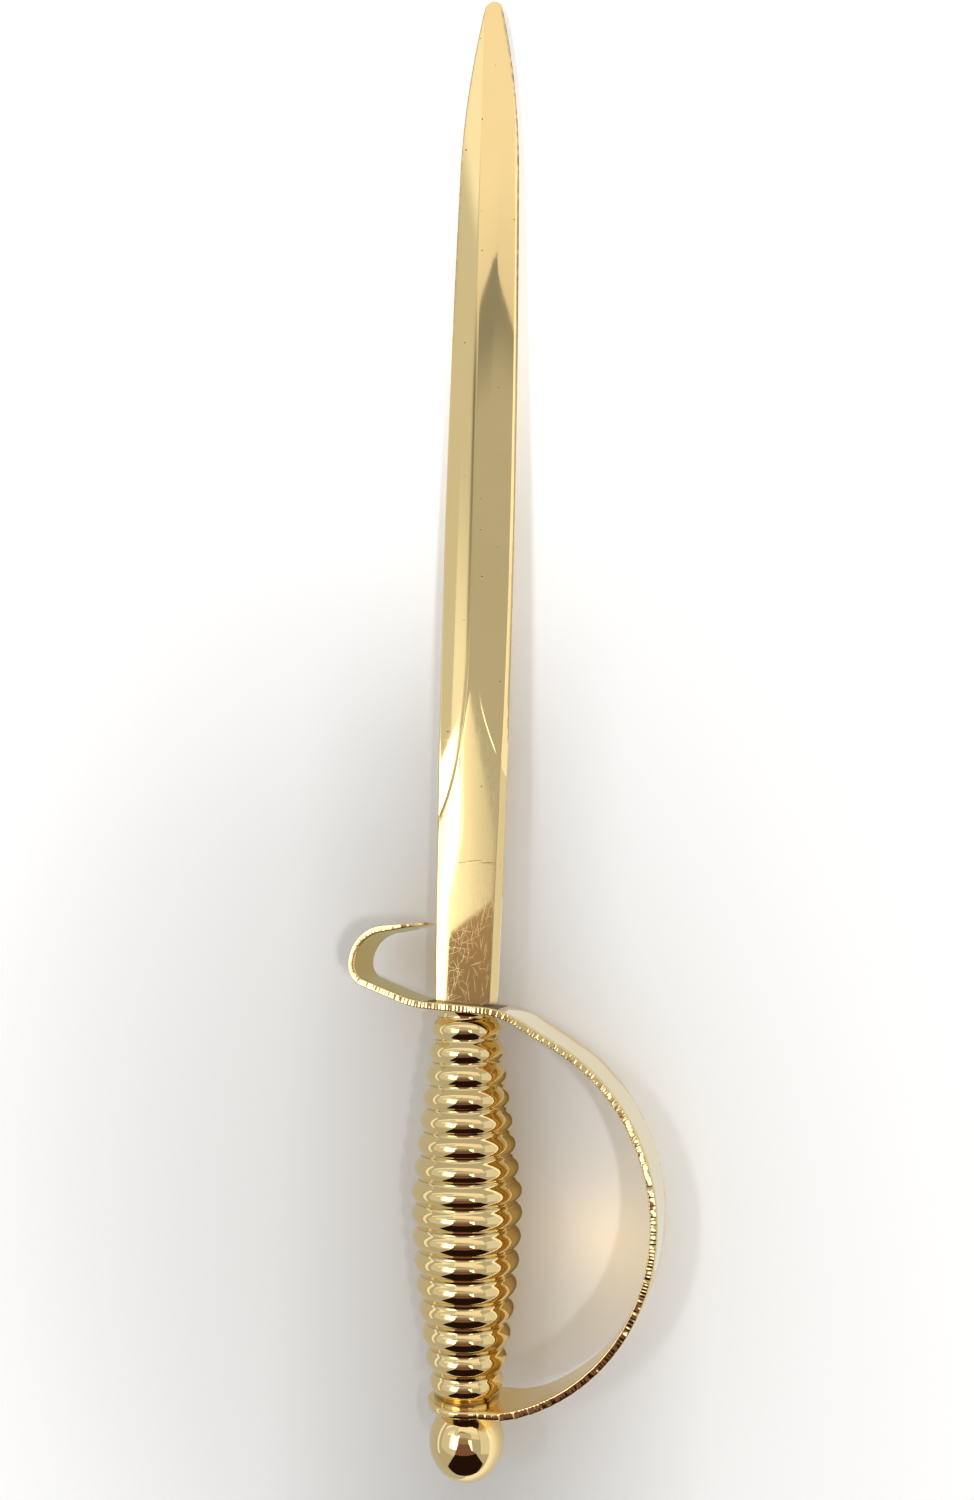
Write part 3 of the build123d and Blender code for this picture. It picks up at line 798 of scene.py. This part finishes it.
# %% Turn a profile
TURN_STEPS = 160
ROD_CLEARANCE, BORE_END_CLEARANCE = 0.15, 0.5
BORE_RADIUS = ROD_DIAMETER / 2 + ROD_CLEARANCE


def turned(profile):
    """Every profile point (radius, height) carried round the handle's axis: x = r cos a, z = r sin a."""
    radius, height = np.asarray(profile).T
    angle = np.linspace(0, 2 * math.pi, TURN_STEPS, endpoint=False)
    x = radius[:, None] * np.cos(angle)
    z = radius[:, None] * np.sin(angle)
    return np.stack([x, np.repeat(height[:, None], TURN_STEPS, 1), z], -1)


def turned_quads(rows):
    """The cells of a turned profile that closes on itself: the last row joins the first."""
    return grid_quads(rows + 1, TURN_STEPS) % (rows * TURN_STEPS)


# %% The beaded grip
BEADS, BEAD_HEIGHT, BEAD_POINTS, GROOVE_SHARE = 16, 0.66, 28, 0.12
NECK_DIAMETER, NECK_FLARE, NECK_LENGTH, NECK_POINTS = 8.3, 0.3, 0.8, 7
FOOT_DIAMETER, FOOT_LENGTH = 8.8, 0.4
TOP_BEAD_DIAMETER, GRIP_BELLY_DIAMETER, FOOT_BEAD_DIAMETER = 9.9, 15.5, 9.9
GRIP_BELLY_AT, LOWER_CURVE = 24.7, 1.65
PITCH = (GRIP_LENGTH - NECK_LENGTH - FOOT_LENGTH) / BEADS
FIRST_BEAD = NECK_LENGTH + PITCH / 2
LAST_BEAD = FIRST_BEAD + (BEADS - 1) * PITCH
GRIP_TOP, GRIP_BOTTOM = -STRIP_THICKNESS, -STRIP_THICKNESS - GRIP_LENGTH


def crest_radius(depth):
    """Radius over the beads: a straight taper above the belly, a round one below it."""
    belly = GRIP_BELLY_DIAMETER / 2
    above = (GRIP_BELLY_AT - depth) / (GRIP_BELLY_AT - FIRST_BEAD) * (belly - TOP_BEAD_DIAMETER / 2)
    share = np.maximum(depth - GRIP_BELLY_AT, 0) / (LAST_BEAD - GRIP_BELLY_AT)
    return belly - np.where(depth < GRIP_BELLY_AT, above, share**LOWER_CURVE * (belly - FOOT_BEAD_DIAMETER / 2))


def bead_fall(bead):
    """How far the profile has fallen below the crest line: one parabola over the crest and a narrower one, upside
    down, in the groove, with the same slope where they meet."""
    from_crest = np.abs(bead % 1 - 0.5)
    steep = 4 * BEAD_HEIGHT
    crest = steep * from_crest**2 / (1 - 2 * GROOVE_SHARE)
    groove = BEAD_HEIGHT - steep * (0.5 - from_crest) ** 2 / (2 * GROOVE_SHARE)
    return np.where(from_crest < 0.5 - GROOVE_SHARE, crest, groove)


def grip_profile():
    """Radius and height down the grip: neck, beads and grooves as one wave, foot, and the bore back up."""
    bead = np.arange(BEADS * BEAD_POINTS + 1) / BEAD_POINTS
    depth = NECK_LENGTH + bead * PITCH
    radius = crest_radius(depth) - bead_fall(bead)
    rise = np.linspace(1, 0, NECK_POINTS)
    neck = np.stack([NECK_DIAMETER / 2 + NECK_FLARE * rise**2, GRIP_TOP - NECK_LENGTH * (1 - rise)], -1)
    low = GRIP_BOTTOM + FOOT_LENGTH
    foot = [(FOOT_DIAMETER / 2, low), (FOOT_DIAMETER / 2, GRIP_BOTTOM), (BORE_RADIUS, GRIP_BOTTOM)]
    return np.concatenate([[(BORE_RADIUS, GRIP_TOP)], neck, np.stack([radius, GRIP_TOP - depth], -1), foot])


grip_grid = turned(grip_profile())
seat_share = np.concatenate([[1], np.linspace(1, 0, NECK_POINTS)])[:, None]
grip_grid[: NECK_POINTS + 1, :, 1] -= seat_share * grip_grid[: NECK_POINTS + 1, :, 0] * math.tan(SEAT_TILT)
grip = add_piece("grip", grip_grid, turned_quads(len(grip_grid)), plated_turning)

# %% Wear and darker grooves on the grip
BEAD_GROOVE_DARKENING, BEAD_GROOVE_DARK_WIDTH, GRIP_WEAR = 0.45, 0.09, 0.12


def bead_grime(piece):
    """The grooves painted a darker colour: a bell about the half way between two crests, where the bead's share is
    whole.
    """
    depth = GRIP_TOP - piece_points(piece)[:, 1] - NECK_LENGTH
    from_groove = np.abs((depth / PITCH + 0.5) % 1 - 0.5) * PITCH
    return BEAD_GROOVE_DARKENING * bell(from_groove, BEAD_GROOVE_DARK_WIDTH)


paint(grip, wear=GRIP_WEAR, grime=bead_grime(grip))

# %% The ball pommel
POMMEL_DIAMETER, POMMEL_SEAT_DIAMETER, BALL_POINTS = 10.0, 5.4, 90
POMMEL_WEAR, POMMEL_PAINTED_SHADE, POMMEL_SHADE_ENDS = 0.15, 0.5, (0.1, 0.5)
EYE_END = -2 * STRIP_THICKNESS - GRIP_LENGTH


def pommel_profile():
    """The ball from its flat seat to its lowest point, then the blind bore inside."""
    ball = POMMEL_DIAMETER / 2
    start = math.asin(POMMEL_SEAT_DIAMETER / POMMEL_DIAMETER)
    centre = EYE_END - ball * math.cos(start)
    angle = np.linspace(start, math.pi, BALL_POINTS)
    skin = np.stack([ball * np.sin(angle), centre + ball * np.cos(angle)], -1)
    bore_end = ROD_END - BORE_END_CLEARANCE
    return np.concatenate([skin, [(0, bore_end), (BORE_RADIUS, bore_end), (BORE_RADIUS, EYE_END)]])


pommel_grid = turned(pommel_profile())
pommel = add_piece("pommel", pommel_grid, turned_quads(len(pommel_grid)), plated_turning)
# Painted shade on the ball just below the eye, where the two meet.
below_eye = EYE_END - piece_points(pommel)[:, 1]
paint(pommel, wear=POMMEL_WEAR, grime=POMMEL_PAINTED_SHADE * (1 - smooth_step(below_eye, *POMMEL_SHADE_ENDS)))

# %% [markdown]
# ## Floor and room
# The opener lies on a white laminate table in a grey room. The table is plain diffuse white, so it keeps the opener's
# shadow. To the camera and in reflections it also glows a little, and more beyond the guard, where the background is
# plain white; that stronger glow is painted light that pales the blade's shadow there. Light Path picks those rays, so
# the glow puts no more light on the metal.

# %% White floor
def plain_sheet(name, corners, material):
    """A flat face through the given corners, in frame metres, that isn't part of the object."""
    mesh = bpy.data.meshes.new(name)
    mesh.from_pydata([tuple(c) for c in corners], [], [list(range(len(corners)))])
    sheet = bpy.data.objects.new(name, mesh)
    bpy.context.scene.collection.objects.link(sheet)
    mesh.materials.append(material)
    print(name, "with", len(corners), "corners")
    return sheet


WHITE, LAMINATE, ROOM_WHITE = "#FFFFFF", "#F7F7F7", "#FFFCF8"
FLOOR_HALF, FLOOR_LIFT, FAR_PAINTED_LIGHT, LIFT_FROM, LIFT_TO = 1.5, 0.08, 0.3, 0.012, 0.06
floor_white, floor_tree = new_material("white_table_laminate")
lit = node(floor_tree, "BsdfDiffuse", Color=linear(LAMINATE))[0]
rays = node(floor_tree, "LightPath")
seen = rays["Is Camera Ray"]
for kind_of_ray in ("Is Glossy Ray", "Is Transmission Ray"):
    seen = node(floor_tree, "Math", {"operation": "MAXIMUM"}, _0=seen, _1=rays[kind_of_ray])[0]
floor_place = node(floor_tree, "TexCoord")["Object"]
# Painted light: the glow grows beyond the guard and pales the blade's shadow there.
lift = node(
    floor_tree, "MapRange", {"interpolation_type": "SMOOTHSTEP"},
    Value=node(floor_tree, "SeparateXYZ", Vector=floor_place)["Y"],
    From_Min=LIFT_FROM, From_Max=LIFT_TO, To_Min=FLOOR_LIFT, To_Max=FAR_PAINTED_LIGHT,
)[0]
lift = node(floor_tree, "Math", {"operation": "MULTIPLY"}, _0=seen, _1=lift)[0]
glow = node(floor_tree, "Emission", Color=linear(WHITE), Strength=lift)[0]
node(floor_tree, "OutputMaterial", Surface=node(floor_tree, "AddShader", _0=lit, _1=glow)[0])
floor_corners = [(x * FLOOR_HALF, y * FLOOR_HALF, 0) for x, y in ((-1, -1), (1, -1), (1, 1), (-1, 1))]
plain_sheet("floor", floor_corners, floor_white)

# %% Grey room
ROOM_LEVEL = 0.48
world = bpy.data.worlds.new("grey_room")
bpy.context.scene.world = world
world.use_nodes = True
world.node_tree.nodes.clear()
background = node(world.node_tree, "Background", Color=linear(ROOM_WHITE), Strength=ROOM_LEVEL)[0]
node(world.node_tree, "OutputWorld", Surface=background)
print("room level", ROOM_LEVEL)

# %% [markdown]
# ## What the metal mirrors
# Polished metal shows its surroundings more than itself, so they are built with care, as for silverware: bright panels
# at the left, at the right and beyond the tip, a grey arched flag high up, and tan, brown and dark flags over the near
# side. The floor could be left to mirror itself, but close to the opener it lies in soft shade, so cards just above it
# give that shade. All of them are plain glowing cards that only reflections see, so they don't light the floor.

# %% Cards in handle millimetres
X, Y = 0, 1


def card(name, corners, colour, strength, fade=None):
    """A glowing sheet in handle millimetres that only reflections see. A fade gives the handle axis, where along it the
    strength starts to change and where it ends, and the strength at the end."""
    material, tree = new_material(name)
    if fade:
        axis, start, end, last = fade
        along = HANDLE_AXES[axis]
        place = node(tree, "TexCoord")["Object"]
        low, high = (HANDLE_ZERO @ along + edge * MM for edge in (start, end))
        strength = node(
            tree, "MapRange", {"interpolation_type": "SMOOTHSTEP"},
            Value=node(tree, "VectorMath", {"operation": "DOT_PRODUCT"}, _0=place, _1=along.tolist())["Value"],
            From_Min=low, From_Max=high, To_Min=strength, To_Max=last,
        )[0]
    node(tree, "OutputMaterial", Surface=node(tree, "Emission", Color=linear(colour), Strength=strength)[0])
    sheet = plain_sheet(name, to_frame(corners), material)
    sheet.visible_camera = sheet.visible_diffuse = sheet.visible_shadow = False
    return sheet


def level(corners, height):
    """Corners of a level sheet at a height."""
    return [(x, y, height) for x, y in corners]


# %% Panels that shine in the metal
# name, height, corners, colour, strength, fade
PANELS = (
    ("far_panel", 1150, [(-1500, 420), (1500, 420), (1500, 2000), (-1500, 2000)], "#FFF8F1", 0.8, (Y, 780, 1050, 0.98)),
    ("left_panel", 300, [(-280, -110), (-105, -110), (-105, 75), (-280, 165)], WHITE, 0.9, (X, -280, -170, 3.0)),
    ("left_panel_rim", 300, [(-105, -110), (-82, -110), (-46, 26), (-62, 115), (-105, 100)], "#FFFDF8", 2.6,
     (X, -100, -46, 0.6)),
    ("left_far_panel", 301, [(-430, 120), (-190, 105), (-190, 270), (-430, 270)], WHITE, 1.0, (Y, 130, 270, 0.65)),
    ("left_grey_panel", 330, [(-900, -250), (-130, -250), (-130, 560), (-900, 560)], WHITE, 0.65, (Y, 400, 445, 1.02)),
    ("right_panel", 300, [(102, -125), (162, -125), (150, 40), (92, 40)], WHITE, 2.5, None),
)
for name, height, corners, colour, strength, fade in PANELS:
    card(name, level(corners, height), colour, strength, fade)
card("right_low_panel", [(700, -400, 10), (700, 500, 10), (700, 500, 500), (700, -400, 500)], WHITE, 0.75)
card("left_low_panel", [(-900, -500, 40), (-900, 700, 40), (-900, 700, 170), (-900, -500, 170)], WHITE, 0.95)

# %% Flags that the metal mirrors as dark shapes
FLAG_HEIGHT, ARCH_HEIGHT = 178, 1000
arch_far_border = [(-390, 640), (-285, 732), (-185, 789), (0, 772), (150, 725), (300, 690), (520, 640)]
arch_shape = [(-390, 60)] + arch_far_border + [(520, 60)]
tan_shape = [(-46, 10), (-28, 23), (52, 20), (60, -35), (-46, -35)]
brown_shape = [(-44, -35, FLAG_HEIGHT), (62, -35, FLAG_HEIGHT), (92, -95, 179.8), (150, -135, 181), (-80, -135, 181)]
dark_shape = [(-110, -430, 1), (130, -430, 1), (240, -330, 62), (150, -135, 181), (-80, -135, 181), (-205, -330, 62)]
card("grey_arched_flag", level(arch_shape, ARCH_HEIGHT), WHITE, 0.49, (Y, 600, 710, 0.29))
card("tan_flag", level(tan_shape, FLAG_HEIGHT), "#958171", 1.0, (Y, -10, 20, 1.3))
card("brown_flag", brown_shape, "#795955", 1.0)
card("dark_flag", dark_shape, "#2A1A14", 0.7)

# %% Table beside the handle, as the metal mirrors it: painted shade in the curl, in the bow and at the left, painted light beyond the bow
TABLE_GAP, OVER_DIM_TABLE = 0.5, (0, 0, 0.2)


def on_table(corners):
    """Handle corners dropped to just above the table: z follows from the table's level and the handle's slopes."""
    x, y = np.array(corners, float).T
    slope = HANDLE_AXES[:, 2]
    z = (TABLE_GAP - HANDLE_ZERO[2] / MM - x * slope[0] - y * slope[1]) / slope[2]
    return np.stack([x, y, z], -1)


bow_top = [(5.5, 0.6), (8, -0.6), (10.7, -2), (15.8, -5), (20.7, -9.6), (24.2, -15.3)]
bow_side = [(26.4, -21.5), (27.2, -26), (27.2, -31), (26, -36)]
bow_inside = [(8, -8), (12, -9), (18, -15), (22, -22), (23.3, -29), (21, -38), (16, -44), (8, -48)]
curl_inside = [(-18, 4.5), (-16.5, 1.5), (-9, -1), (-5.5, -1), (-5.5, 10.3), (-10, 10.3), (-15.5, 8.8)]
left_of_handle = [(-1000, -500), (-9, -500), (-9, 500), (-1000, 500)]
beyond_bow = bow_top + bow_side + [(60, -45), (60, 15), (5.5, 15)]
card("shadow_in_the_curl", on_table(curl_inside) + OVER_DIM_TABLE, "#A6A084", 1.0)
card("dim_table_at_the_left", on_table(left_of_handle), WHITE, 0.5)
card("shadow_in_the_bow", on_table(bow_inside), "#A08A64", 0.4, (X, 6, 17, 1.0))
card("bright_table_beyond_the_bow", on_table(beyond_bow), "#F4F8FF", 0.85)

# %% [markdown]
# ## Lamps and shades
# The room and two lamps light the floor, and each lamp throws a soft shadow to its other side. Two shades hold some of
# that light back, so the floor round the handle is greyer than beyond the guard. A shade could also cut the other
# lamp's light and leave a stray shadow, so light linking lets each lamp shine through the other one's shade. The
# polished bow throws a warm glow on the floor inside it. A small warm lamp stands in for that, because so small a
# reflection would only come out as noise.

# %% Two lamps and the bow's glow
def lamp(name, place, size, watts, colour=WHITE, aim=(0, 0, 0)):
    """A square lamp at a place in handle millimetres, its side in metres, that faces its aim, which is the guard if no
    other is given."""
    data = bpy.data.lights.new(name, "AREA")
    data.shape, data.size, data.energy, data.color = "SQUARE", size, watts, linear(colour)[:3]
    made = bpy.data.objects.new(name, data)
    made.location = to_frame(place)
    made.rotation_euler = Vector((np.array(place) - aim) @ HANDLE_AXES).to_track_quat("Z", "Y").to_euler()
    bpy.context.scene.collection.objects.link(made)
    print(name, "at", [round(c, 3) for c in made.location])
    return made


left_lamp = lamp("left_lamp", (-600.0, 100.0, 900.0), 0.25, 4.1)
right_lamp = lamp("right_lamp", (410.0, -110.0, 910.0), 0.1, 3.1)
bow_glow = lamp("glow_thrown_back_by_the_bow", (17.5, -32.0, 2.0), 0.006, 0.00022, "#FFCB51", (17.5, -32.0, -6.0))
right_lamp.visible_glossy = bow_glow.visible_glossy = False

# %% Shades between the lamps and the handle
SHADE_GREY = "#4A4A4A"
ROUND_SHADE_MIDDLE, ROUND_SHADE_RADII, ROUND_SHADE_CORNERS = (-134, -4), (46, 66), 32
shade_turn = np.linspace(0, 2 * math.pi, ROUND_SHADE_CORNERS, endpoint=False)
round_shade = np.array(ROUND_SHADE_MIDDLE) + np.stack([np.cos(shade_turn), np.sin(shade_turn)], -1) * ROUND_SHADE_RADII
right_shade = [(70, -92), (97, -92), (97, -30), (89, -20), (89, 18), (72, 18)]
shade_of_left = card("shade_of_left_lamp", level(round_shade.tolist(), FLAG_HEIGHT), SHADE_GREY, 1.0)
shade_of_right = card("shade_of_right_lamp", level(right_shade, FLAG_HEIGHT), SHADE_GREY, 1.0)
for lit_by, other_shade in ((left_lamp, shade_of_right), (right_lamp, shade_of_left)):
    other_shade.visible_glossy, other_shade.visible_shadow = False, True
    passes = bpy.data.collections.new(lit_by.name + "_passes")
    passes.objects.link(other_shade)
    lit_by.light_linking.blocker_collection = passes
    passes.collection_objects[0].light_linking.link_state = "EXCLUDE"
    print(lit_by.name, "shines through", other_shade.name)

# %% [markdown]
# ## The camera
# The photograph was taken from a hand's width above the guard with a wide lens, so the blade runs away from the
# viewer. A lens could be aimed by eye, but the view was solved from the picture, so it is given in handle millimetres:
# where the lens stands, and the three directions of the picture.

# %% Camera
IMAGE_SIZE = (974, 1500)
FOCAL_PIXELS = 1150.0
SENSOR = 36.0
LENS_AT = (34.57, 7.40, 163.96)
PICTURE_AXES = np.array([(0.9819, -0.0355, -0.1859), (-0.003, -0.9851, 0.1719), (-0.1893, -0.1682, -0.9674)])

camera_data = bpy.data.cameras.new("camera")
camera = bpy.data.objects.new("camera", camera_data)
bpy.context.scene.collection.objects.link(camera)
camera_data.sensor_width = SENSOR
camera_data.lens = FOCAL_PIXELS / max(IMAGE_SIZE) * SENSOR
camera_data.clip_start, camera_data.clip_end = 0.01, 20.0
right, down, ahead = PICTURE_AXES.T @ HANDLE_AXES
camera.rotation_mode = "QUATERNION"
camera.rotation_quaternion = Matrix(np.array([right, -down, -ahead]).T.tolist()).to_quaternion()
camera.location = to_frame(LENS_AT)
bpy.context.scene.camera = camera
bpy.context.scene.view_settings.view_transform = "Standard"
print("lens", round(camera_data.lens, 2), "mm at", [round(c, 4) for c in camera.location])
